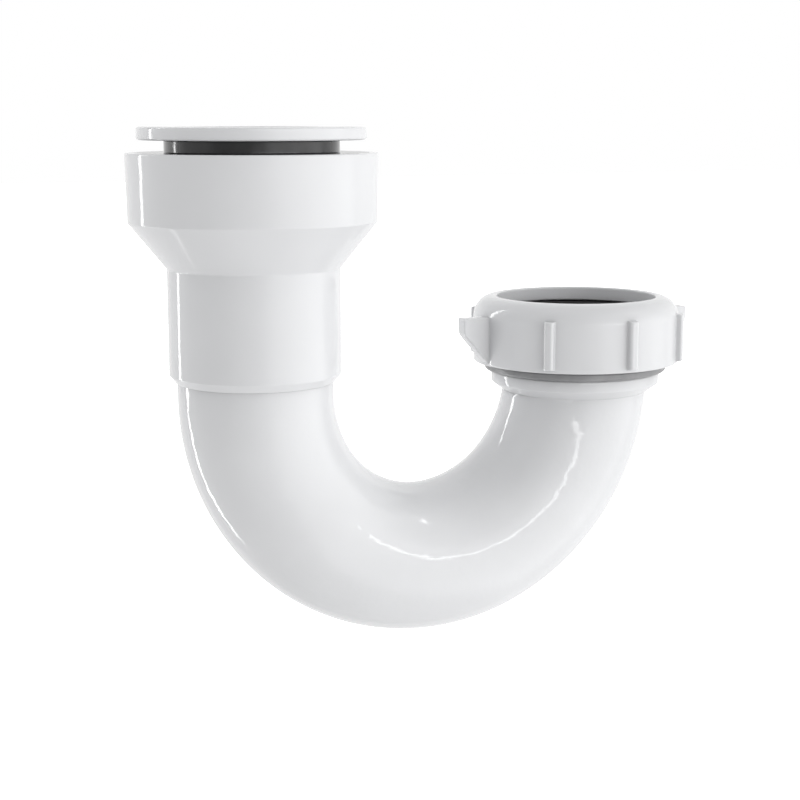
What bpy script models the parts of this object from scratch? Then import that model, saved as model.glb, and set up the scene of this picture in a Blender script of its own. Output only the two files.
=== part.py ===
"""P trap for a 40 mm waste: socketed inlet, U bend and winged compression nut.

Metres, +Z up. The origin is on the inlet axis, at the top face of the inlet
flange. +X runs from the inlet leg to the outlet leg, and the U lies in XZ.
Heights at the inlet are measured from the origin. Heights at the outlet are
measured from the level where the bend's half circle ends.
"""

import math

import bmesh
import bpy
from mathutils import Matrix

# Waste pipe and U bend
TUBE_RADIUS = 0.020
TUBE_BORE = 0.018
BEND_RADIUS = 0.04775
LEG_SPACING = 2 * BEND_RADIUS
ARC_LEVEL = -0.06803
GAP = 0.0003

# Inlet flange, its tailpiece and the neck of the seal below it
FLANGE_RADIUS = 0.02875
FLANGE_HEIGHT = 0.0032
TAIL_RADIUS = 0.0192
TAIL_BORE = 0.0170
TAIL_END = -0.0300
NECK_RADIUS = 0.0220
EDGE = 0.00045

# Inlet socket: cup, cone and sleeve in one moulding
RIM_LEVEL = -0.00636
CUP_RADIUS = 0.03175
CUP_BORE = 0.0293
CUP_BASE_RADIUS = 0.03145
CUP_BASE_LEVEL = -0.02365
CUP_FLOOR_LEVEL = -0.0225
CONE_BASE_LEVEL = -0.0353
SLEEVE_RADIUS = 0.0220
SLEEVE_LEVEL = -0.06226
SLEEVE_END = -0.06429
STOP_LEVEL = -0.0390
THROAT_LEVEL = -0.0361
THROAT_RADIUS = 0.0182

# Outlet socket of the bend, heights from the arc's level
CONE_FOOT = -0.0052
CONE_FOOT_RADIUS = 0.02035
COLLAR_BASE = -0.00263
COLLAR_TOP = 0.00045
COLLAR_RADIUS = 0.02345
GROOVE_RADIUS = 0.0226
GROOVE_TOP = 0.0036
PIPE_STOP = -0.0015
SOCKET_BORE = 0.0205
SEAT_FOOT = 0.0094
MOUTH_RADIUS = 0.0223
MOUTH_LEVEL = 0.0132

# Rounded screw thread, right-handed
PITCH = 0.003
THREAD_RADIUS = 0.0242
THREAD_DEPTH = 0.0007
THREAD_GAP = 0.00055
THREAD_START = 0.0042
THREAD_END = 0.0126
NUT_THREAD_START = 0.0046
NUT_THREAD_END = 0.0140

# Stop ring under the nut
STOP_RING_RADIUS = 0.0254
STOP_RING_BORE = 0.0229
STOP_RING_BASE = 0.00075
STOP_RING_TOP = 0.0028
STOP_RING_SPLIT = 0.0020

# Compression nut
NUT_BASE = 0.0031
NUT_TOP = 0.0213
NUT_RADIUS = 0.0286
NUT_OPENING = 0.0221
NUT_LAND = 0.0232
SHOULDER_LEVEL = 0.0156
LIP_LEVEL = 0.01748
RELIEF_RADIUS = 0.0248
RIB_WIDTH = 0.0026
RIB_RADIUS = 0.03045
RIB_BASE = 0.0040
RIB_TOP = 0.0170
WING_WIDTH = 0.0038
WING_RADIUS = 0.0363
WING_TIP_LEVEL = 0.0123
GRIP_COUNT = 8

# Slip washer and tapered seal inside the nut
WASHER_RADIUS = 0.0245
WASHER_BORE = 0.0223
WASHER_BASE = 0.0161
WASHER_TOP = 0.01715
PIPE_SEAL_BORE = 0.0203
PIPE_SEAL_RADIUS = 0.0235
PIPE_SEAL_NOSE = 0.0102
PIPE_SEAL_TOP = 0.0171

# Facets
SIDES = 48
THREAD_SIDES = 36
ARC_STEP = 8
LAST_ARC_ANGLE = 168
ROWS_PER_PITCH = 6


def clear_scene():
    for old in list(bpy.data.objects):
        bpy.data.objects.remove(old, do_unlink=True)


def plastic(name, color, roughness):
    material = bpy.data.materials.new(name)
    material.use_nodes = True
    shader = material.node_tree.nodes["Principled BSDF"]
    shader.inputs["Base Color"].default_value = (*color, 1.0)
    shader.inputs["Roughness"].default_value = roughness
    shader.inputs["Metallic"].default_value = 0.0
    return material


def finish_object(name, bm, material, location):
    """Turns a finished bmesh into a named object with smooth round faces."""
    bmesh.ops.recalc_face_normals(bm, faces=bm.faces)
    mesh = bpy.data.meshes.new(name)
    bm.to_mesh(mesh)
    bm.free()
    mesh.shade_smooth()
    mesh.set_sharp_from_angle(angle=math.radians(30))
    mesh.materials.append(material)
    piece = bpy.data.objects.new(name, mesh)
    piece.location = location
    bpy.context.collection.objects.link(piece)
    return piece


def turned(name, profile, material, location=(0, 0, 0), sides=SIDES):
    """A ring turned about Z from a closed profile of (radius, height) points."""
    bm = bmesh.new()
    points = [bm.verts.new((radius, 0, height)) for radius, height in profile]
    edges = [bm.edges.new((points[i - 1], points[i])) for i in range(len(points))]
    bmesh.ops.spin(bm, geom=points + edges, cent=(0, 0, 0), axis=(0, 0, 1), dvec=(0, 0, 0),
                   angle=2 * math.pi, steps=sides, use_merge=True)
    return finish_object(name, bm, material, location)


def add_row(bm, sides, radius, height, ripple=0.0):
    """One level row of vertices, rippled by a right-handed thread."""
    row = []
    for i in range(sides):
        angle = 2 * math.pi * i / sides
        r = radius + ripple * math.cos(2 * math.pi * height / PITCH - angle)
        row.append(bm.verts.new((r * math.cos(angle), r * math.sin(angle), height)))
    return row


def skin_rows(bm, rows):
    """Quads between neighbouring rows, the last row joined to the first."""
    sides = len(rows[0])
    for upper, lower in zip(rows, rows[1:] + rows[:1]):
        for i in range(sides):
            k = (i + 1) % sides
            bm.faces.new((upper[i], upper[k], lower[k], lower[i]))


def thread_rows(bm, root, middle, start, end):
    """Rows from start up to end, whose thread runs out into its root at both ends."""
    count = round((end - start) / PITCH * ROWS_PER_PITCH)
    rows = []
    for i in range(count + 1):
        height = start + (end - start) * i / count
        depth = min(1.0, i / 2, (count - i) / 2)
        radius = root + (middle - root) * depth
        rows.append(add_row(bm, THREAD_SIDES, radius, height, THREAD_DEPTH * depth))
    return rows


def bend_rows(bm, radius):
    """Rows square to the centreline, from the inlet leg round to the outlet."""
    rows = []
    for degrees in range(0, LAST_ARC_ANGLE + 1, ARC_STEP):
        turn = math.radians(degrees)
        row = add_row(bm, THREAD_SIDES, radius, 0.0)
        swing = Matrix.Rotation(-turn, 4, "Y")
        centre = Matrix.Translation((BEND_RADIUS, 0, 0))
        outward = Matrix.Translation((-BEND_RADIUS, 0, 0))
        bmesh.ops.transform(bm, matrix=centre @ swing @ outward, verts=row)
        rows.append(row)
    return rows


def outlet_row(bm, radius, height):
    row = add_row(bm, THREAD_SIDES, radius, height)
    turn_over(bm, row)
    return row


def turn_over(bm, row):
    """Matches a row on the outlet leg to the rows swung round the bend."""
    to_outlet = Matrix.Translation((LEG_SPACING, 0, 0)) @ Matrix.Diagonal((-1, 1, 1, 1))
    bmesh.ops.transform(bm, matrix=to_outlet, verts=row)


def make_u_bend(material):
    """Inlet spigot, half circle and outlet socket with its male thread."""
    bm = bmesh.new()
    spigot_top = STOP_LEVEL - ARC_LEVEL - GAP
    chamfer = 0.0007
    outside = [add_row(bm, THREAD_SIDES, TUBE_RADIUS - chamfer, spigot_top),
               add_row(bm, THREAD_SIDES, TUBE_RADIUS, spigot_top - chamfer)]
    outside += bend_rows(bm, TUBE_RADIUS)
    for radius, height in [(CONE_FOOT_RADIUS, CONE_FOOT),
                           (COLLAR_RADIUS, COLLAR_BASE),
                           (COLLAR_RADIUS, COLLAR_TOP),
                           (GROOVE_RADIUS, COLLAR_TOP),
                           (GROOVE_RADIUS, GROOVE_TOP)]:
        outside.append(outlet_row(bm, radius, height))

    # The thread is phased about the outlet axis, so its rows aren't mirrored.
    root = THREAD_RADIUS - THREAD_DEPTH
    thread = thread_rows(bm, root, THREAD_RADIUS, THREAD_START, THREAD_END)
    for row in thread:
        bmesh.ops.translate(bm, vec=(LEG_SPACING, 0, 0), verts=row)
    half = THREAD_SIDES // 2
    outside += [[row[(half - i) % THREAD_SIDES] for i in range(THREAD_SIDES)] for row in thread]
    outside.append(outlet_row(bm, root, MOUTH_LEVEL))

    inside = [add_row(bm, THREAD_SIDES, TUBE_BORE, spigot_top)]
    inside += bend_rows(bm, TUBE_BORE)
    for radius, height in [(TUBE_BORE, PIPE_STOP), (SOCKET_BORE, PIPE_STOP),
                           (SOCKET_BORE, SEAT_FOOT), (MOUTH_RADIUS, MOUTH_LEVEL)]:
        inside.append(outlet_row(bm, radius, height))

    skin_rows(bm, outside + inside[::-1])
    return finish_object("u_bend", bm, material, (0, 0, ARC_LEVEL))


def make_inlet_socket(material):
    """Cup for the seal, reducing cone, and sleeve over the bend's spigot."""
    sleeve_bore = TUBE_RADIUS + GAP
    return turned("inlet_socket", [
        (CUP_RADIUS - EDGE, RIM_LEVEL),
        (CUP_RADIUS, RIM_LEVEL - EDGE),
        (CUP_BASE_RADIUS, CUP_BASE_LEVEL),
        (SLEEVE_RADIUS, CONE_BASE_LEVEL),
        (SLEEVE_RADIUS, SLEEVE_LEVEL),
        (sleeve_bore + GAP, SLEEVE_END),
        (sleeve_bore, SLEEVE_END),
        (sleeve_bore, STOP_LEVEL),
        (THROAT_RADIUS, STOP_LEVEL),
        (THROAT_RADIUS, THROAT_LEVEL),
        (CUP_BORE, CUP_FLOOR_LEVEL),
        (CUP_BORE, RIM_LEVEL),
    ], material)


def make_inlet_flange(material):
    """Flanged tailpiece that passes down through the seal's neck."""
    return turned("inlet_flange", [
        (FLANGE_RADIUS - EDGE, 0),
        (FLANGE_RADIUS, -EDGE),
        (FLANGE_RADIUS, EDGE - FLANGE_HEIGHT),
        (FLANGE_RADIUS - EDGE, -FLANGE_HEIGHT),
        (TAIL_RADIUS, -FLANGE_HEIGHT),
        (TAIL_RADIUS, TAIL_END + 2 * EDGE),
        (TAIL_RADIUS - EDGE, TAIL_END),
        (TAIL_BORE, TAIL_END),
        (TAIL_BORE, -2 * EDGE),
        (TAIL_BORE + 2 * EDGE, 0),
    ], material)


def make_inlet_seal(material):
    """Rubber collar: a necked inner sleeve and a ribbed outer sleeve, joined by a web."""
    rib, groove = CUP_BORE - GAP, CUP_BORE - GAP - 0.0005
    fin, hollow = TAIL_RADIUS + GAP, TAIL_RADIUS + GAP + 0.0009
    web_base, skirt_bore, skirt_end = -0.0095, 0.0266, -0.0218
    neck_top, sleeve_end = -FLANGE_HEIGHT - GAP, -0.0255
    ribs = []
    for top in (RIM_LEVEL, -0.0133, -0.0193):
        ribs += [(groove, top + 0.0005), (rib, top), (rib, top - 0.0015), (groove, top - 0.0020)]
    fins = []
    for base in (-0.0244, -0.0156, -0.0066):
        fins += [(hollow, base - 0.0005), (fin, base), (fin, base + 0.0015), (hollow, base + 0.0020)]
    profile = [(NECK_RADIUS - EDGE, neck_top), (NECK_RADIUS, neck_top - EDGE), (NECK_RADIUS, RIM_LEVEL)]
    profile += ribs[1:-1]
    profile += [(groove, skirt_end), (skirt_bore, skirt_end), (skirt_bore, web_base),
                (NECK_RADIUS, web_base), (NECK_RADIUS, sleeve_end + 0.0015),
                (hollow, sleeve_end), (fin, sleeve_end)]
    profile += fins[2:-1]
    profile += [(fin, neck_top)]
    return turned("inlet_seal", profile, material)


def make_stop_ring(material, location):
    """Ring clipped round the foot of the thread, split on its rear side."""
    ring = turned("stop_ring", [
        (STOP_RING_RADIUS - EDGE, STOP_RING_TOP),
        (STOP_RING_RADIUS, STOP_RING_TOP - EDGE),
        (STOP_RING_RADIUS, STOP_RING_BASE + EDGE),
        (STOP_RING_RADIUS - EDGE, STOP_RING_BASE),
        (STOP_RING_BORE, STOP_RING_BASE),
        (STOP_RING_BORE, STOP_RING_TOP),
    ], material, location, THREAD_SIDES)
    bm = bmesh.new()
    size = Matrix.Diagonal((STOP_RING_SPLIT, 0.010, 0.010, 1))
    bmesh.ops.create_cube(bm, size=1.0, matrix=Matrix.Translation((0, STOP_RING_RADIUS, 0)) @ size)
    cutter = finish_object("stop_ring_split", bm, material, location)
    cutter.hide_render = True
    cutter.display_type = "WIRE"
    split = ring.modifiers.new("split", "BOOLEAN")
    split.operation = "DIFFERENCE"
    split.object = cutter
    return ring


def make_outlet_seal(material, location):
    """Tapered rubber ring: nose in the socket's mouth, lip inside the washer."""
    seat_gap = 0.00033
    slope = (MOUTH_RADIUS - SOCKET_BORE) / (MOUTH_LEVEL - SEAT_FOOT)
    nose_radius = SOCKET_BORE + slope * (PIPE_SEAL_NOSE - SEAT_FOOT) - seat_gap
    flange_base, flange_top = MOUTH_LEVEL + GAP, WASHER_BASE - GAP
    return turned("outlet_seal", [
        (nose_radius, PIPE_SEAL_NOSE),
        (MOUTH_RADIUS - seat_gap, MOUTH_LEVEL),
        (MOUTH_RADIUS - seat_gap, flange_base),
        (PIPE_SEAL_RADIUS, flange_base),
        (PIPE_SEAL_RADIUS, flange_top),
        (WASHER_BORE - 0.0006, flange_top),
        (WASHER_BORE - 0.0008, PIPE_SEAL_TOP),
        (PIPE_SEAL_BORE, PIPE_SEAL_TOP),
        (PIPE_SEAL_BORE, PIPE_SEAL_NOSE),
    ], material, location, THREAD_SIDES)


def make_slip_washer(material, location):
    """Flat ring between the nut's lip and the rubber."""
    return turned("slip_washer", [
        (WASHER_BORE, WASHER_BASE), (WASHER_RADIUS, WASHER_BASE),
        (WASHER_RADIUS, WASHER_TOP), (WASHER_BORE, WASHER_TOP),
    ], material, location, THREAD_SIDES)


def nut_outside():
    """Outer profile of the nut from its opening, over the shoulder, to its base."""
    profile = [(NUT_OPENING, NUT_TOP - EDGE), (NUT_OPENING + EDGE, NUT_TOP)]
    steps = 5
    for i in range(steps + 1):
        angle = math.pi / 2 * (1 - i / steps)
        profile.append((NUT_LAND + (NUT_RADIUS - NUT_LAND) * math.cos(angle),
                        SHOULDER_LEVEL + (NUT_TOP - SHOULDER_LEVEL) * math.sin(angle)))
    return profile + [(NUT_RADIUS, NUT_BASE + EDGE), (NUT_RADIUS - EDGE, NUT_BASE)]


def add_grip(bm, outline, width, angle):
    """A plate standing out of the barrel at an angle."""
    front = [bm.verts.new((r, -width / 2, z)) for r, z in outline]
    back = [bm.verts.new((r, width / 2, z)) for r, z in outline]
    count = len(outline)
    bm.faces.new(front)
    bm.faces.new(back[::-1])
    for i in range(count):
        k = (i + 1) % count
        bm.faces.new((front[i], back[i], back[k], front[k]))
    bmesh.ops.rotate(bm, cent=(0, 0, 0), matrix=Matrix.Rotation(angle, 3, "Z"), verts=front + back)


def make_grips(material, location):
    """Six ribs and, in the plane of the U, two triangular wings."""
    root = NUT_RADIUS - 0.0015
    round_off = 0.0008
    rib = [(root, RIB_BASE), (RIB_RADIUS, RIB_BASE), (RIB_RADIUS, RIB_TOP - round_off),
           (RIB_RADIUS - round_off, RIB_TOP), (root, RIB_TOP)]
    wing = [(root, RIB_BASE), (NUT_RADIUS + EDGE, RIB_BASE), (WING_RADIUS, WING_TIP_LEVEL),
            (WING_RADIUS, RIB_TOP - EDGE), (root, RIB_TOP - EDGE)]
    bm = bmesh.new()
    for i in range(GRIP_COUNT):
        outline, width = (wing, WING_WIDTH) if i % (GRIP_COUNT // 2) == 0 else (rib, RIB_WIDTH)
        add_grip(bm, outline, width, 2 * math.pi * i / GRIP_COUNT)
    grips = finish_object("outlet_nut_grips", bm, material, location)
    grips.hide_render = True
    grips.display_type = "WIRE"
    return grips


def make_outlet_nut(material, location):
    """Hooded nut with a female thread, joined to its ribs and wings."""
    bm = bmesh.new()
    rows = [add_row(bm, THREAD_SIDES, radius, height) for radius, height in nut_outside()]
    middle = THREAD_RADIUS + THREAD_GAP
    root = middle + THREAD_DEPTH
    rows.append(add_row(bm, THREAD_SIDES, root, NUT_BASE))
    rows += thread_rows(bm, root, middle, NUT_THREAD_START, NUT_THREAD_END)
    rows.append(add_row(bm, THREAD_SIDES, RELIEF_RADIUS, NUT_THREAD_END + EDGE))
    rows.append(add_row(bm, THREAD_SIDES, RELIEF_RADIUS, LIP_LEVEL))
    rows.append(add_row(bm, THREAD_SIDES, NUT_OPENING, LIP_LEVEL))
    skin_rows(bm, rows)
    nut = finish_object("outlet_nut", bm, material, location)
    grips = nut.modifiers.new("grips", "BOOLEAN")
    grips.operation = "UNION"
    grips.object = make_grips(material, location)
    return nut


def main():
    clear_scene()
    outlet = (LEG_SPACING, 0, ARC_LEVEL)
    white = (0.86, 0.87, 0.88)
    make_u_bend(plastic("bend_white", white, 0.12))
    make_inlet_socket(plastic("socket_white", white, 0.14))
    make_inlet_flange(plastic("flange_white", white, 0.14))
    make_inlet_seal(plastic("seal_rubber", (0.025, 0.025, 0.027), 0.45))
    make_stop_ring(plastic("ring_grey", (0.20, 0.20, 0.205), 0.35), outlet)
    make_outlet_seal(plastic("pipe_seal_rubber", (0.012, 0.012, 0.013), 0.55), outlet)
    make_slip_washer(plastic("washer_black", (0.03, 0.03, 0.03), 0.35), outlet)
    make_outlet_nut(plastic("nut_white", white, 0.16), outlet)


main()
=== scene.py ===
"""Looks for the P trap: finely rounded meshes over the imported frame, with studio light."""

import math

import bmesh
import bpy
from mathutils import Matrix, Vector


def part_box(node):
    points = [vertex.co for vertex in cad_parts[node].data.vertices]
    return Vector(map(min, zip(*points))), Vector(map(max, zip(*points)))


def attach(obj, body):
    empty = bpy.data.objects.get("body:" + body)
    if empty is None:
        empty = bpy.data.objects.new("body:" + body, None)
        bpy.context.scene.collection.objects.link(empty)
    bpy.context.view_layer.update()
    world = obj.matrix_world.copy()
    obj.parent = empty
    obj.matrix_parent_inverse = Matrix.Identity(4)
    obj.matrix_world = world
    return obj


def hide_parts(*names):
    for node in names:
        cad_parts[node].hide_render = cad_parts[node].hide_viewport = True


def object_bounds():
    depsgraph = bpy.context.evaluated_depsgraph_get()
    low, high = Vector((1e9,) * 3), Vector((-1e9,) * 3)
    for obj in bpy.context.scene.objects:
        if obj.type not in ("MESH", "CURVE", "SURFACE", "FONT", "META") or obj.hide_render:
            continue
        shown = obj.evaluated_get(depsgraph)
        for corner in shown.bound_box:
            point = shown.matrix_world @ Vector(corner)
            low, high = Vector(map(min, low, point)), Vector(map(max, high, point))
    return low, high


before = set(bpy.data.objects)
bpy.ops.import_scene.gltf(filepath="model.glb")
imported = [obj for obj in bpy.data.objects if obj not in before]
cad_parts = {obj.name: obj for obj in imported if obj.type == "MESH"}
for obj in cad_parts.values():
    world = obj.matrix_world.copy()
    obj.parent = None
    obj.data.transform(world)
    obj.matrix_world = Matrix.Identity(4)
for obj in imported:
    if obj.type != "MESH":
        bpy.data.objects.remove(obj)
CAD_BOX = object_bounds()


def size_of(node):
    """Radius about Z, lowest level and highest level of a CAD node's box."""
    low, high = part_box(node)
    return (high.y - low.y) / 2, low.z, high.z


# Driving sizes, read from the frame
FLANGE_RADIUS, TAIL_END, FLANGE_TOP = size_of("inlet_flange")
CUP_RADIUS, SLEEVE_END, RIM_LEVEL = size_of("inlet_socket")
SEAL_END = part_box("inlet_seal")[0].z
STOP_RING_RADIUS, STOP_RING_BASE, STOP_RING_TOP = size_of("stop_ring")
RIB_RADIUS, NUT_BASE, NUT_TOP = size_of("outlet_nut")
PIPE_SEAL_RADIUS, PIPE_SEAL_NOSE, PIPE_SEAL_TOP = size_of("outlet_seal")
WASHER_RADIUS, WASHER_BASE, WASHER_TOP = size_of("slip_washer")
OUTLET_X = sum(corner.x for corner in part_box("slip_washer")) / 2
WING_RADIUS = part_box("outlet_nut")[1].x - OUTLET_X
SPIGOT_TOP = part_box("u_bend")[1].z
BEND_RADIUS = OUTLET_X / 2
TUBE_RADIUS = 0.020
ARC_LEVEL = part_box("u_bend")[0].z + BEND_RADIUS + TUBE_RADIUS

# Sizes of the design that no box gives
TUBE_BORE = 0.018
FLANGE_HEIGHT = 0.0032
TAIL_RADIUS, TAIL_BORE = 0.0192, 0.0170
NECK_RADIUS = 0.0220
CUP_BORE, CUP_BASE_RADIUS = 0.0293, 0.03145
CUP_BASE_LEVEL, CUP_FLOOR_LEVEL = -0.02365, -0.0225
CONE_BASE_LEVEL, SLEEVE_RADIUS, SLEEVE_LEVEL = -0.0353, 0.0220, -0.06226
STOP_LEVEL, THROAT_LEVEL, THROAT_RADIUS = -0.0390, -0.0361, 0.0182
CONE_FOOT, CONE_FOOT_RADIUS = ARC_LEVEL - 0.0052, 0.02035
COLLAR_BASE, COLLAR_TOP, COLLAR_RADIUS = ARC_LEVEL - 0.00263, ARC_LEVEL + 0.00045, 0.02345
GROOVE_RADIUS, GROOVE_TOP = 0.0226, ARC_LEVEL + 0.0036
PIPE_STOP, SOCKET_BORE, SEAT_FOOT = ARC_LEVEL - 0.0015, 0.0205, ARC_LEVEL + 0.0094
MOUTH_RADIUS, MOUTH_LEVEL = 0.0223, ARC_LEVEL + 0.0132
PITCH, THREAD_RADIUS, THREAD_DEPTH, THREAD_GAP = 0.003, 0.0242, 0.0007, 0.00055
THREAD_START, THREAD_END = ARC_LEVEL + 0.0042, ARC_LEVEL + 0.0126
NUT_THREAD_START, NUT_THREAD_END = ARC_LEVEL + 0.0046, ARC_LEVEL + 0.0140
STOP_RING_BORE, STOP_RING_SPLIT = 0.0229, 0.0020
NUT_RADIUS, NUT_OPENING, NUT_LAND = 0.0286, 0.0221, 0.0232
SHOULDER_LEVEL, LIP_LEVEL, RELIEF_RADIUS = ARC_LEVEL + 0.0156, ARC_LEVEL + 0.01748, 0.0248
RIB_BASE, RIB_TOP = ARC_LEVEL + 0.0040, ARC_LEVEL + 0.0170
RIB_WIDTH, RIB_EDGE, WING_WIDTH, WING_EDGE, GRIP_ROOT = 0.0026, 0.0008, 0.0038, 0.0005, 0.0004
WING_TIP_LEVEL, WING_TOP = ARC_LEVEL + 0.0123, ARC_LEVEL + 0.01655
RIB_END_EDGE, WING_TOP_EDGE, WING_TIP_EDGE, WING_FOOT, NUT_FOOT_EDGE = 0.0005, 0.0004, 0.0003, 0.0004, 0.0005
GRIP_COUNT = 8
WASHER_BORE, PIPE_SEAL_BORE = 0.0223, 0.0203

# Mesh fineness
SIDES = 192
BEND_SIDES = 144
BEND_STEPS = 90
ROWS_PER_PITCH = 12
FILLET_STEPS = 5
SUPPORT = 0.00015
SHARP_ANGLE = math.radians(50)
OPEN_STEPS = 8
SHOULDER_STEP = 6

# Studio: floor, even light, and panels, each a box of directions (azimuth from -Y toward +X, then
# elevation) in degrees, its blur each way and the brightness it adds
FLOOR_SIZE, FLOOR_DROP = 6.0, 0.12
AMBIENT = 0.80
PANELS = [
    ((-1, 80, -50, 20), (18, 18), 0.84),
    ((28, 80, -12, 55), (20, 20), 0.30),
    ((80, 200, -50, 60), (30, 30), 0.22),
    ((-200, -122, -48, 22), (20, 20), 0.24),
    ((-72, -14, -20, 60), (24, 24), -0.36),
    ((-141.6, -138.2, -46, 38), (1.2, 14), 10.0),
    ((-22, 40, 3.2, 5.8), (6, 1.4), 5.0),
    ((57, 66, 43, 46), (2.5, 2.5), 7.0),
]


# Meshes ---------------------------------------------------------------------

def skin(name, rows, material, full_turn=True):
    """A closed solid from rows of points, the last row joined to the first."""
    bm = bmesh.new()
    grid = [[bm.verts.new(point) for point in row] for row in rows]
    sides = len(grid[0])
    for upper, lower in zip(grid, grid[1:] + grid[:1]):
        for i in range(sides if full_turn else sides - 1):
            k = (i + 1) % sides
            bm.faces.new((upper[i], lower[i], lower[k], upper[k]))
    if not full_turn:
        bm.faces.new([row[0] for row in grid])
        bm.faces.new([row[-1] for row in grid])
    bmesh.ops.recalc_face_normals(bm, faces=bm.faces)
    mesh = bpy.data.meshes.new(name)
    bm.to_mesh(mesh)
    bm.free()
    mesh.shade_smooth()
    mesh.set_sharp_from_angle(angle=SHARP_ANGLE)
    mesh.materials.append(material)
    piece = bpy.data.objects.new(name, mesh)
    bpy.context.collection.objects.link(piece)
    return piece


def rounded(corners):
    """A closed outline of (radius, height, fillet) corners, with arcs and support points."""
    outline = []
    for last, corner, following in zip(corners[-1:] + corners[:-1], corners, corners[1:] + corners[:1]):
        here, fillet = Vector(corner[:2]), corner[2]
        to_last = (Vector(last[:2]) - here).normalized()
        to_next = (Vector(following[:2]) - here).normalized()
        half = to_last.angle(to_next) / 2
        reach = fillet / math.tan(half)
        centre = here + (to_last + to_next).normalized() * (fillet / math.sin(half))
        start, end = here + to_last * reach, here + to_next * reach
        outline.append(start + to_last * SUPPORT)
        for k in range(FILLET_STEPS + 1):
            t = k / FILLET_STEPS
            outline.append(centre + ((start - centre) * (1 - t) + (end - centre) * t).normalized() * fillet)
        outline.append(end + to_next * SUPPORT)
    return outline


def round_row(radius, height, x):
    """A level row about the vertical axis at x."""
    turns = [2 * math.pi * i / SIDES for i in range(SIDES)]
    return [(x + radius * math.cos(a), radius * math.sin(a), height) for a in turns]


def turned(name, corners, material, x=0.0):
    """A ring turned about the vertical axis at x."""
    rows = [round_row(point.x, point.y, x) for point in rounded(corners)]
    return skin(name, rows, material)


def thread_depth(height, start, end):
    """0 at the thread's ends and 1 along its full form."""
    run_out = PITCH / 3
    return max(0.0, min(1.0, (height - start) / run_out, (end - height) / run_out))


def thread_radius(root, middle, height, angle, start, end):
    """Radius of a right-handed round thread, about the outlet axis."""
    depth = thread_depth(height, start, end)
    ripple = THREAD_DEPTH * math.cos(2 * math.pi * (height - ARC_LEVEL) / PITCH - angle)
    return root + (middle - root + ripple) * depth


def thread_levels(start, end):
    """Evenly spaced levels along a thread."""
    count = round((end - start) / PITCH * ROWS_PER_PITCH)
    return [start + (end - start) * i / count for i in range(count + 1)]


# Bend -----------------------------------------------------------------------

def leg_row(radius, height, outlet):
    """A level row on one leg, counted from the outer side of the U."""
    x, side = (OUTLET_X, 1) if outlet else (0.0, -1)
    turns = [2 * math.pi * i / BEND_SIDES for i in range(BEND_SIDES)]
    return [(x + side * radius * math.cos(a), radius * math.sin(a), height) for a in turns]


def bend_rows(radius, end_level):
    """Rows round the half circle, the last one cut level at end_level on the outlet side."""
    rows = []
    for step in range(BEND_STEPS + 1):
        row = []
        for i in range(BEND_SIDES):
            around = 2 * math.pi * i / BEND_SIDES
            reach = BEND_RADIUS + radius * math.cos(around)
            last = math.pi - math.asin((ARC_LEVEL - end_level) / reach)
            swing = last * step / BEND_STEPS
            row.append((BEND_RADIUS - reach * math.cos(swing), radius * math.sin(around),
                        ARC_LEVEL - reach * math.sin(swing)))
        rows.append(row)
    return rows


def male_thread_rows():
    """Rows up the outside of the bend's thread."""
    root = THREAD_RADIUS - THREAD_DEPTH
    rows = []
    for height in thread_levels(THREAD_START, THREAD_END):
        row = []
        for i in range(BEND_SIDES):
            a = 2 * math.pi * i / BEND_SIDES
            r = thread_radius(root, THREAD_RADIUS, height, a, THREAD_START, THREAD_END)
            row.append((OUTLET_X + r * math.cos(a), r * math.sin(a), height))
        rows.append(row)
    return rows


def make_bend(material):
    """Hollow U from the inlet spigot round to the collar, the thread and the pipe socket."""
    edge = 0.0004
    rows = [leg_row(TUBE_RADIUS - edge, SPIGOT_TOP, False), leg_row(TUBE_RADIUS, SPIGOT_TOP - edge, False)]
    rows += bend_rows(TUBE_RADIUS, CONE_FOOT)
    lift = SUPPORT
    for radius, height in [(CONE_FOOT_RADIUS, CONE_FOOT + lift),
                           (CONE_FOOT_RADIUS + lift, CONE_FOOT + 2 * lift),
                           (COLLAR_RADIUS - 2 * lift, COLLAR_BASE - 2 * lift),
                           (COLLAR_RADIUS - lift / 2, COLLAR_BASE - lift / 2),
                           (COLLAR_RADIUS, COLLAR_BASE + lift),
                           (COLLAR_RADIUS, COLLAR_TOP - 4 * lift),
                           (COLLAR_RADIUS - lift / 2, COLLAR_TOP - 2 * lift),
                           (COLLAR_RADIUS - 2 * lift, COLLAR_TOP - lift / 2),
                           (COLLAR_RADIUS - 4 * lift, COLLAR_TOP),
                           (GROOVE_RADIUS, COLLAR_TOP),
                           (GROOVE_RADIUS, GROOVE_TOP)]:
        rows.append(leg_row(radius, height, True))
    rows += male_thread_rows()
    rows += [leg_row(THREAD_RADIUS - THREAD_DEPTH, MOUTH_LEVEL - edge, True),
             leg_row(THREAD_RADIUS - THREAD_DEPTH - edge, MOUTH_LEVEL, True),
             leg_row(MOUTH_RADIUS, MOUTH_LEVEL, True),
             leg_row(SOCKET_BORE, SEAT_FOOT, True),
             leg_row(SOCKET_BORE, PIPE_STOP, True),
             leg_row(TUBE_BORE, PIPE_STOP, True)]
    rows += bend_rows(TUBE_BORE, PIPE_STOP - lift)[::-1]
    rows.append(leg_row(TUBE_BORE, SPIGOT_TOP, False))
    return skin("bend_shell", rows, material)


# Inlet ----------------------------------------------------------------------

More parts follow.
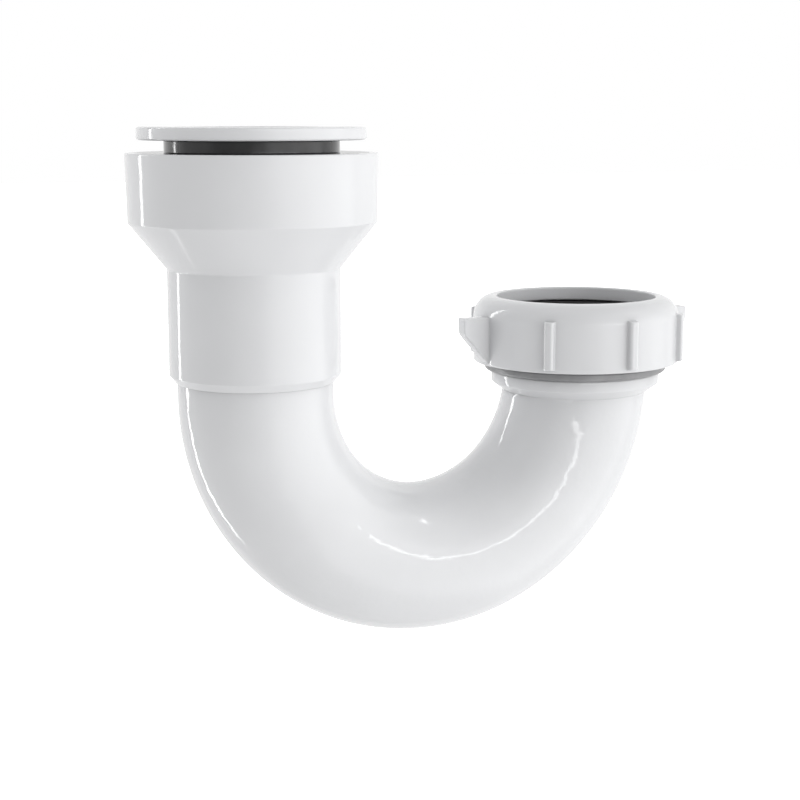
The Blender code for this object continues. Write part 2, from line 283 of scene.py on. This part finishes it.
def make_socket(material):
    """Cup, reducing cone and sleeve, with the throat between the cup and the bend's spigot."""
    bore = TUBE_RADIUS + 0.00002
    return turned("socket_shell", [
        (CUP_RADIUS, RIM_LEVEL, 0.0004),
        (CUP_BASE_RADIUS, CUP_BASE_LEVEL, 0.0005),
        (SLEEVE_RADIUS, CONE_BASE_LEVEL, 0.0008),
        (SLEEVE_RADIUS, SLEEVE_LEVEL, 0.0005),
        (bore + 0.0003, SLEEVE_END, 0.0001),
        (bore, SLEEVE_END, 0.0001),
        (bore, STOP_LEVEL, 0.0001),
        (THROAT_RADIUS, STOP_LEVEL, 0.0002),
        (THROAT_RADIUS, THROAT_LEVEL, 0.0005),
        (CUP_BORE, CUP_FLOOR_LEVEL, 0.0005),
        (CUP_BORE, RIM_LEVEL, 0.0003),
    ], material)


def make_flange(material):
    """Flat flange with the tailpiece below it."""
    return turned("flange_shell", [
        (FLANGE_RADIUS, FLANGE_TOP, 0.0006),
        (FLANGE_RADIUS, FLANGE_TOP - FLANGE_HEIGHT, 0.0006),
        (TAIL_RADIUS, FLANGE_TOP - FLANGE_HEIGHT, 0.0003),
        (TAIL_RADIUS, TAIL_END, 0.0006),
        (TAIL_BORE, TAIL_END, 0.0004),
        (TAIL_BORE, FLANGE_TOP, 0.0012),
    ], material)


def make_inlet_seal(material):
    """The cup's ribs outside, a web across the rim, and a finned skirt on the tailpiece."""
    fin, hollow = TAIL_RADIUS + 0.0001, TAIL_RADIUS + 0.0010
    rib, groove = CUP_BORE - 0.0001, CUP_BORE - 0.0007
    rib_height, groove_start, groove_end = 0.0015, 0.0020, 0.0063
    wall_radius, wall_end, web_base = 0.0266, SEAL_END + 0.0037, RIM_LEVEL - 0.0030
    neck_end = FLANGE_TOP - FLANGE_HEIGHT - 0.00005
    small, soft, inner = 0.00015, 0.0003, 0.0005
    corners = [(NECK_RADIUS, neck_end, soft), (NECK_RADIUS, RIM_LEVEL, soft)]
    for top in (RIM_LEVEL, RIM_LEVEL - 0.0068, RIM_LEVEL - 0.0128):
        corners += [(rib, top, small), (rib, top - rib_height, small),
                    (groove, top - groove_start, small), (groove, top - groove_end, small)]
    corners[-1] = (groove, wall_end, small)
    corners += [(wall_radius, wall_end, soft), (wall_radius, web_base, inner),
                (NECK_RADIUS, web_base, inner), (NECK_RADIUS, SEAL_END + 0.0015, soft),
                (hollow, SEAL_END, 0.0002), (fin, SEAL_END, small)]
    last_fin_end, hollow_start, hollow_end = 0.0073, 0.0068, 0.0005
    for fin_base in (SEAL_END + 0.0099, SEAL_END + 0.0189):
        corners += [(fin, fin_base - last_fin_end, small), (hollow, fin_base - hollow_start, small),
                    (hollow, fin_base - hollow_end, small), (fin, fin_base, small)]
    corners += [(fin, neck_end, small)]
    return turned("inlet_seal_rubber", corners, material)


# Outlet ---------------------------------------------------------------------

def make_stop_ring(material):
    """Round-edged ring, split at the back."""
    gap = 0.00015
    outline = rounded([
        (STOP_RING_RADIUS, STOP_RING_TOP + gap, 0.0009),
        (STOP_RING_RADIUS, STOP_RING_BASE - gap, 0.0009),
        (STOP_RING_BORE, STOP_RING_BASE - gap, 0.0002),
        (STOP_RING_BORE, STOP_RING_TOP + gap, 0.0002),
    ])
    split = STOP_RING_SPLIT / STOP_RING_RADIUS
    first = math.pi / 2 + split / 2
    turns = [first + (2 * math.pi - split) * i / SIDES for i in range(SIDES + 1)]
    rows = [[(OUTLET_X + p.x * math.cos(a), p.x * math.sin(a), p.y) for a in turns] for p in outline]
    return skin("stop_ring_clip", rows, material, full_turn=False)


def make_outlet_seal(material):
    """Tapered rubber with a flange, and a lip up through the washer."""
    lip = WASHER_BORE - 0.0007
    flange_top = WASHER_BASE - 0.0003
    return turned("pipe_seal_rubber", [
        (0.02055, PIPE_SEAL_NOSE, 0.0001),
        (MOUTH_RADIUS - 0.0003, MOUTH_LEVEL + 0.0003, 0.0001),
        (PIPE_SEAL_RADIUS, MOUTH_LEVEL + 0.0003, 0.0003),
        (PIPE_SEAL_RADIUS, flange_top, 0.0003),
        (lip, flange_top, 0.0002),
        (lip, PIPE_SEAL_TOP, 0.0003),
        (PIPE_SEAL_BORE, PIPE_SEAL_TOP, 0.0003),
        (PIPE_SEAL_BORE, PIPE_SEAL_NOSE, 0.0001),
    ], material, OUTLET_X)


def make_washer(material):
    """Flat ring between the nut's lip and the outlet seal."""
    edge = 0.0002
    return turned("washer_disc", [
        (WASHER_BORE, WASHER_BASE, edge), (WASHER_RADIUS, WASHER_BASE, edge),
        (WASHER_RADIUS, WASHER_TOP, edge), (WASHER_BORE, WASHER_TOP, edge),
    ], material, OUTLET_X)


def round_drop(depth, edge):
    """How far a rounded edge falls, at a depth into its radius."""
    depth = min(max(depth, 0.0), edge)
    return edge - math.sqrt(edge * edge - depth * depth)


def barrel_radius(height):
    """The nut's barrel and its rounded shoulder, without ribs."""
    if height > SHOULDER_LEVEL:
        share = min(1.0, (height - SHOULDER_LEVEL) / (NUT_TOP - SHOULDER_LEVEL))
        return NUT_LAND + (NUT_RADIUS - NUT_LAND) * math.sqrt(1 - share * share)
    return NUT_RADIUS - round_drop(NUT_BASE + NUT_FOOT_EDGE - height, NUT_FOOT_EDGE)


def grip_radius(height, wing):
    """Crest of a rib or a wing at a level, or 0 above and below it."""
    top = WING_TOP if wing else RIB_TOP
    if not RIB_BASE <= height <= top:
        return 0.0
    if not wing:
        edge = RIB_END_EDGE
        return RIB_RADIUS - round_drop(height - top + edge, edge) - round_drop(RIB_BASE + edge - height, edge)
    share = (height - RIB_BASE) / (WING_TIP_LEVEL - RIB_BASE)
    slope = NUT_RADIUS + WING_FOOT + (WING_RADIUS - NUT_RADIUS - WING_FOOT) * share
    crest = (slope + WING_RADIUS - math.hypot(slope - WING_RADIUS, 2 * WING_TIP_EDGE)) / 2
    return min(crest, WING_RADIUS) - round_drop(height - top + WING_TOP_EDGE, WING_TOP_EDGE)


def grip_section(wing):
    """Half the width of a wing or rib, and the radius of its long edges."""
    return (WING_WIDTH / 2, WING_EDGE) if wing else (RIB_WIDTH / 2, RIB_EDGE)


def nut_surface_radius(height, offset, wing):
    """Outer radius at a level and at a distance sideways from a grip's middle plane."""
    barrel, crest = barrel_radius(height), grip_radius(height, wing)
    half, edge = grip_section(wing)
    aside = abs(offset)
    if crest <= barrel:
        return barrel
    if aside <= half:
        return max(barrel, crest - round_drop(aside - half + edge, edge))
    foot = round_drop(GRIP_ROOT - (aside - half), GRIP_ROOT)
    return barrel + min(foot, crest - barrel)


def nut_columns():
    """(middle angle, is wing, sideways offset or None, share of the open stretch) for each column."""
    widest = WING_WIDTH / 2 + 2 * GRIP_ROOT
    columns = []
    for grip in range(GRIP_COUNT):
        angle, wing = 2 * math.pi * grip / GRIP_COUNT, grip % (GRIP_COUNT // 2) == 0
        half, edge = grip_section(wing)
        beside = [0.0, (half - edge) / 2]
        beside += [half - edge + edge * k for k in (0.0, 0.2, 0.4, 0.6, 0.75, 0.88, 0.96, 1.0)]
        beside += [half + GRIP_ROOT * k for k in (0.02, 0.15, 0.4, 0.7, 1.0)] + [widest]
        columns += [(angle, wing, offset, 0.0) for offset in [-t for t in beside[:0:-1]] + beside]
        columns += [(angle, wing, None, k / OPEN_STEPS) for k in range(1, OPEN_STEPS)]
    return columns, widest


def nut_levels():
    """Levels of the outer rows, close together where an edge turns."""
    levels = [NUT_BASE + NUT_FOOT_EDGE * (1 - math.cos(math.radians(a))) for a in (0, 30, 60, 90)]
    fine = 0.00001
    for top, edge in ((RIB_TOP, RIB_END_EDGE), (WING_TOP, WING_TOP_EDGE)):
        levels += [top - edge * k for k in (1.0, 0.6, 0.3, 0.1, 0.0)] + [top + fine]
    levels += [RIB_BASE + RIB_END_EDGE * k for k in (0.0, 0.1, 0.3, 0.6, 1.0)] + [RIB_BASE - fine]
    levels += [WING_TIP_LEVEL + 0.0001 * k for k in (-12, -6, -3, 0, 3, 6, 12)]
    levels += [RIB_BASE + 0.001 * k for k in range(1, 12)]
    rise = NUT_TOP - SHOULDER_LEVEL
    levels += [SHOULDER_LEVEL + rise * math.sin(math.radians(a)) for a in range(0, 91, SHOULDER_STEP)]
    return sorted(levels)


def make_nut(material):
    """The nut's rows from its foot up the outside, over the opening and down the female thread."""
    columns, widest = nut_columns()
    spacing = 2 * math.pi / GRIP_COUNT

    def place(column, radius, height):
        angle, _, offset, share = column
        if offset is None:
            start = math.asin(widest / radius)
            turn = angle + start + (spacing - 2 * start) * share
        else:
            turn = angle + math.asin(offset / radius)
        return (OUTLET_X + radius * math.cos(turn), radius * math.sin(turn), height)

    def plain_row(radius, height):
        return [place(column, radius, height) for column in columns]

    rows = []
    for height in nut_levels():
        row = []
        for column in columns:
            aside = widest if column[2] is None else column[2]
            row.append(place(column, nut_surface_radius(height, aside, column[1]), height))
        rows.append(row)
    edge = 0.0004
    rows.append(plain_row(NUT_OPENING + edge, NUT_TOP))
    for k in (0.35, 0.7, 1.0):
        rows.append(plain_row(NUT_OPENING + round_drop(edge * (1 - k), edge), NUT_TOP - edge * k))
    rows += [plain_row(NUT_OPENING, NUT_TOP - 2 * edge), plain_row(NUT_OPENING, LIP_LEVEL + edge),
             plain_row(NUT_OPENING, LIP_LEVEL + edge / 2), plain_row(NUT_OPENING + edge / 2, LIP_LEVEL),
             plain_row(RELIEF_RADIUS, LIP_LEVEL)]
    middle = THREAD_RADIUS + THREAD_GAP
    root = middle + THREAD_DEPTH
    for height in thread_levels(NUT_THREAD_START, NUT_THREAD_END)[::-1]:
        row = []
        for column in columns:
            flat = place(column, root, height)
            angle = math.atan2(flat[1], flat[0] - OUTLET_X)
            radius = thread_radius(root, middle, height, angle, NUT_THREAD_START, NUT_THREAD_END)
            row.append(place(column, radius, height))
        rows.append(row)
    rows += [plain_row(root, NUT_BASE + edge), plain_row(root + edge, NUT_BASE)]
    return skin("nut_shell", rows, material)


# Materials ------------------------------------------------------------------

class Nodes:
    """A short way to add and link the shader nodes of a material or world."""

    def __init__(self, owner):
        owner.use_nodes = True
        self.tree = owner.node_tree
        self.shader = self.tree.nodes.get("Principled BSDF")

    def add(self, kind, inputs=(), **settings):
        node = self.tree.nodes.new(kind)
        for key, value in settings.items():
            setattr(node, key, value)
        for socket, value in dict(inputs).items():
            self.put(value, node.inputs[socket])
        return node

    def put(self, value, socket):
        if isinstance(value, bpy.types.NodeSocket):
            self.tree.links.new(value, socket)
        else:
            socket.default_value = value

    def math(self, operation, *values):
        return self.add("ShaderNodeMath", enumerate(values), operation=operation).outputs[0]

    def noise(self, scale, detail=2.0):
        place = self.add("ShaderNodeTexCoord").outputs["Object"]
        settings = {"Vector": place, "Scale": scale, "Detail": detail}
        return self.add("ShaderNodeTexNoise", settings).outputs["Fac"]

    def ramp(self, value, low, high):
        """Maps the middle of a noise to a range."""
        return self.add("ShaderNodeMapRange", {"Value": value, "From Min": 0.3, "From Max": 0.7,
                                               "To Min": low, "To Max": high}).outputs["Result"]

    def mix(self, share, first, second):
        node = self.add("ShaderNodeMix", data_type="RGBA")
        self.put(share, node.inputs[0])
        self.put(first, node.inputs[6])
        self.put(second, node.inputs[7])
        return node.outputs[2]

    def bump(self, height, distance, normal=None):
        node = self.add("ShaderNodeBump", {"Height": height, "Distance": distance, "Strength": 1.0})
        if normal is not None:
            self.put(normal, node.inputs["Normal"])
        return node.outputs["Normal"]


def white_plastic(name, color, roughness, waviness, corners):
    """Glossy moulded plastic: faint tone shift, uneven gloss, mould waviness, and painted shade darkening the
    corners.
    """
    reach, open_level, darkest_shade = corners
    material = bpy.data.materials.new(name)
    nodes = Nodes(material)
    shade = tuple(c * 0.965 for c in color)
    tone = nodes.mix(nodes.ramp(nodes.noise(45.0), 0.0, 1.0), (*color, 1.0), (*shade, 1.0))
    # Painted shade: where the ambient occlusion node finds a corner, crease or overhang closed in, the colour
    # is darkened towards a grey
    openness = nodes.add("ShaderNodeAmbientOcclusion", {"Distance": reach}, samples=8).outputs["AO"]
    painted_shade = nodes.add("ShaderNodeMapRange", {"Value": openness, "From Min": 0.25, "From Max": open_level,
                                            "To Min": darkest_shade, "To Max": 0.0}).outputs["Result"]
    nodes.put(nodes.mix(painted_shade, tone, PAINTED_SHADE_GREY), nodes.shader.inputs["Base Color"])
    nodes.put(nodes.ramp(nodes.noise(160.0, 4.0), roughness * 0.75, roughness * 1.3),
              nodes.shader.inputs["Roughness"])
    wave = nodes.bump(nodes.noise(105.0, 3.5), waviness)
    peel = nodes.bump(nodes.noise(1400.0, 2.0), 0.0000025, wave)
    nodes.put(peel, nodes.shader.inputs["Normal"])
    nodes.shader.inputs["IOR"].default_value = 1.5
    return material


def rubber(name, color, roughness, grain):
    """Moulded rubber: bloom in patches and a fine matt grain."""
    material = bpy.data.materials.new(name)
    nodes = Nodes(material)
    bloom = tuple(min(1.0, c * 1.8 + 0.006) for c in color)
    nodes.put(nodes.mix(nodes.ramp(nodes.noise(120.0, 4.0), 0.0, 0.6), (*color, 1.0), (*bloom, 1.0)),
              nodes.shader.inputs["Base Color"])
    nodes.put(nodes.ramp(nodes.noise(300.0, 3.0), roughness * 0.8, roughness * 1.2),
              nodes.shader.inputs["Roughness"])
    nodes.put(nodes.bump(nodes.noise(2500.0, 3.0), grain), nodes.shader.inputs["Normal"])
    return material


# Studio ---------------------------------------------------------------------

def make_camera():
    data = bpy.data.cameras.new("camera")
    data.lens = 74.68
    data.shift_x = -0.0182
    camera = bpy.data.objects.new("camera", data)
    camera.location = (-0.148, -0.396, 0.00277)
    camera.rotation_euler = (math.radians(80.27), 0.0, math.radians(-26.02))
    bpy.context.collection.objects.link(camera)
    bpy.context.scene.camera = camera


def make_floor():
    """A white floor that lights itself, and that the object neither mirrors nor takes light from."""
    bm = bmesh.new()
    bmesh.ops.create_grid(bm, x_segments=1, y_segments=1, size=FLOOR_SIZE)
    mesh = bpy.data.meshes.new("floor")
    bm.to_mesh(mesh)
    bm.free()
    material = bpy.data.materials.new("floor_white")
    nodes = Nodes(material)
    nodes.put(nodes.mix(nodes.ramp(nodes.noise(3.0), 0.0, 1.0), (0.98, 0.98, 0.98, 1), (1, 1, 1, 1)),
              nodes.shader.inputs["Base Color"])
    nodes.shader.inputs["Roughness"].default_value = 0.9
    nodes.shader.inputs["Emission Color"].default_value = (1, 1, 1, 1)
    nodes.shader.inputs["Emission Strength"].default_value = 1.0
    mesh.materials.append(material)
    floor = bpy.data.objects.new("floor", mesh)
    floor.location = (0, 0, CAD_BOX[0].z - FLOOR_DROP)
    floor.visible_diffuse = floor.visible_glossy = floor.visible_shadow = False
    bpy.context.collection.objects.link(floor)


def panel(nodes, azimuth, elevation, box, blur, brightness):
    """Light from a soft-edged box of directions, in degrees."""
    share = brightness
    for angle, low, high, soft in ((azimuth, *box[:2], blur[0]), (elevation, *box[2:], blur[1])):
        for edge, levels in ((low, (0.0, 1.0)), (high, (1.0, 0.0))):
            limits = {"Value": angle, "From Min": math.radians(edge - soft / 2),
                      "From Max": math.radians(edge + soft / 2), "To Min": levels[0], "To Max": levels[1]}
            step = nodes.add("ShaderNodeMapRange", limits, interpolation_type="SMOOTHSTEP")
            share = nodes.math("MULTIPLY", step.outputs["Result"], share)
    return share


def make_world():
    """White behind the object, and soft panels of light around it."""
    world = bpy.data.worlds.new("studio")
    nodes = Nodes(world)
    nodes.tree.nodes.clear()
    direction = nodes.add("ShaderNodeTexCoord").outputs["Generated"]
    along = nodes.add("ShaderNodeSeparateXYZ", {"Vector": direction}).outputs
    azimuth = nodes.math("ARCTAN2", along["X"], nodes.math("MULTIPLY", along["Y"], -1.0))
    elevation = nodes.math("ARCSINE", along["Z"])
    light = AMBIENT
    for box, blur, brightness in PANELS:
        light = nodes.math("ADD", panel(nodes, azimuth, elevation, box, blur, brightness), light)
    around = nodes.add("ShaderNodeBackground", {"Color": (1, 1, 1, 1), "Strength": light})
    behind = nodes.add("ShaderNodeBackground", {"Color": (1, 1, 1, 1), "Strength": 1.0})
    seen = nodes.add("ShaderNodeLightPath").outputs["Is Camera Ray"]
    pick = nodes.add("ShaderNodeMixShader", {0: seen, 1: around.outputs[0], 2: behind.outputs[0]})
    nodes.add("ShaderNodeOutputWorld", {"Surface": pick.outputs[0]})
    bpy.context.scene.world = world


def make_studio():
    make_camera()
    make_floor()
    make_world()
    bpy.context.scene.view_settings.view_transform = "Standard"


# Assembly -------------------------------------------------------------------

PIECES = [
    ("u_bend", make_bend, "trap_body", "bend_plastic"),
    ("inlet_socket", make_socket, "trap_body", "socket_plastic"),
    ("inlet_flange", make_flange, "flange", "flange_plastic"),
    ("inlet_seal", make_inlet_seal, "seal", "seal_rubber"),
    ("stop_ring", make_stop_ring, "trap_body", "ring_plastic"),
    ("outlet_seal", make_outlet_seal, "trap_body", "pipe_seal_rubber"),
    ("slip_washer", make_washer, "washer", "washer_plastic"),
    ("outlet_nut", make_nut, "nut", "nut_plastic"),
]
WHITE = (0.70, 0.705, 0.717)
# Grey that the painted corner shade darkens the white plastics towards
PAINTED_SHADE_GREY = (0.42, 0.42, 0.43, 1.0)
# How far the painted shade in a corner reaches, the openness where it ends, and its strongest
TIGHT_CORNER_SHADE = (0.0022, 0.8, 0.30)
DEEP_CORNER_SHADE = (0.009, 1.0, 0.70)
FINISHES = {
    "bend_plastic": white_plastic("bend_white", WHITE, 0.06, 0.00024, DEEP_CORNER_SHADE),
    "socket_plastic": white_plastic("socket_white", WHITE, 0.09, 0.00005, TIGHT_CORNER_SHADE),
    "flange_plastic": white_plastic("flange_white", WHITE, 0.09, 0.00004, TIGHT_CORNER_SHADE),
    "nut_plastic": white_plastic("nut_white", WHITE, 0.12, 0.00003, DEEP_CORNER_SHADE),
    "seal_rubber": rubber("seal_black", (0.036, 0.036, 0.038), 0.13, 0.000002),
    "pipe_seal_rubber": rubber("pipe_seal_black", (0.006, 0.006, 0.007), 0.55, 0.00001),
    "ring_plastic": rubber("ring_grey", (0.20, 0.20, 0.205), 0.35, 0.000003),
    "washer_plastic": rubber("washer_black", (0.02, 0.02, 0.02), 0.4, 0.000003),
}


def main():
    for node, make, body, slot in PIECES:
        piece = make(FINISHES[slot])
        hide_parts(node)
        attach(piece, body)
    make_studio()


main()
